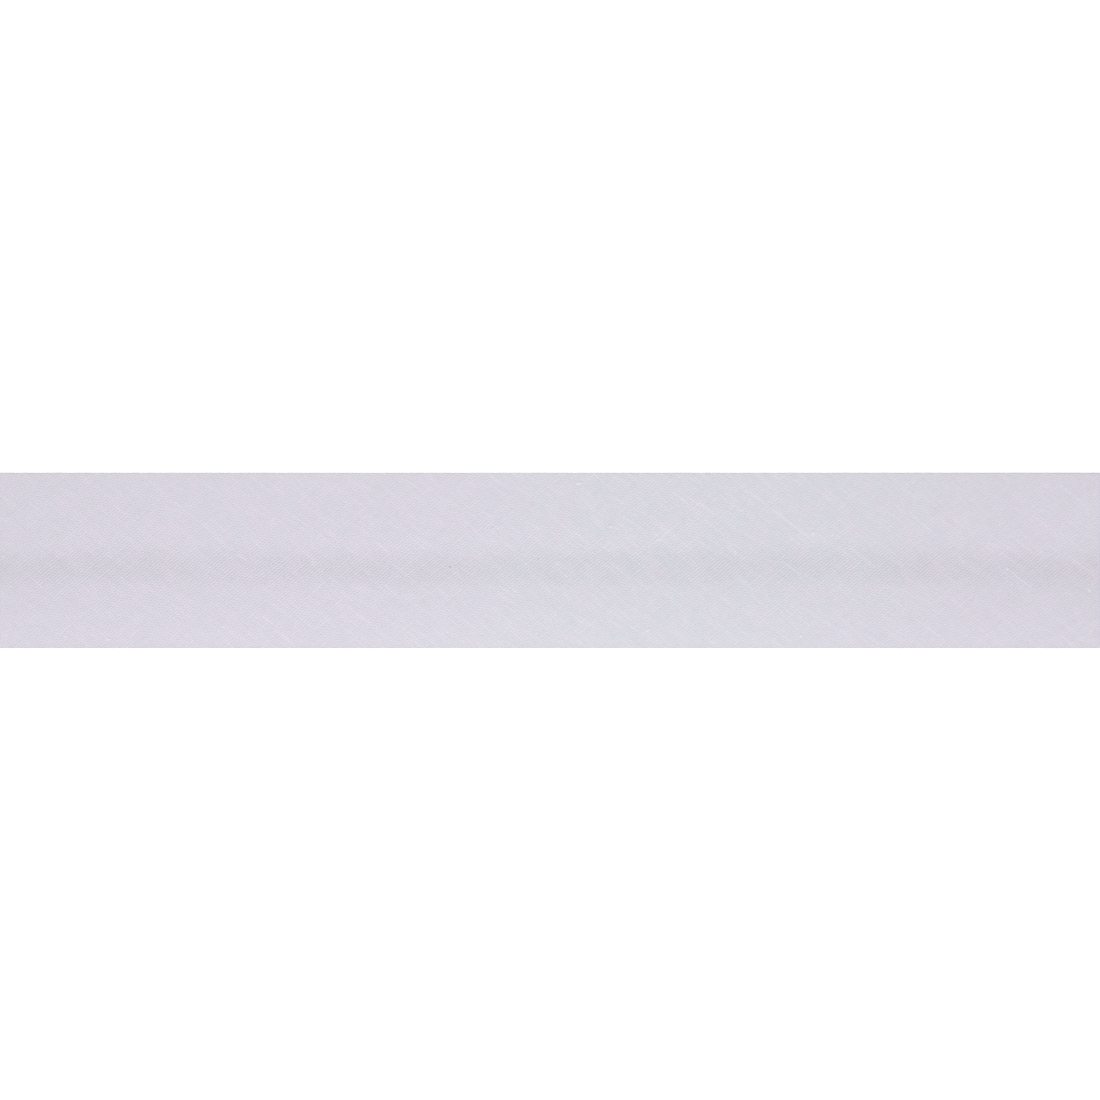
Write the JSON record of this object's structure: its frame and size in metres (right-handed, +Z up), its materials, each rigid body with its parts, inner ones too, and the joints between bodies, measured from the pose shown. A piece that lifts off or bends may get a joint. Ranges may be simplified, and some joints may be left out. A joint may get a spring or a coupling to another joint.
{
  "type": "length of bias tape",
  "caption": "Cut length of single-fold bias tape in plain poplin, lying flat, with both long edges turned under and a narrow gap between them.",
  "frame": {"origin": "on the surface the tape lies on, under the middle of the tape", "axes": "+X along the tape, +Y across it, +Z up out of its smooth face"},
  "size_m": [0.15, 0.02, 0.0025],
  "materials": {
    "cotton_poplin": "matt plain-weave cotton, pale lavender grey"
  },
  "bodies": {
    "root": {"bias_tape": "cotton_poplin"}
  },
  "joints": []
}
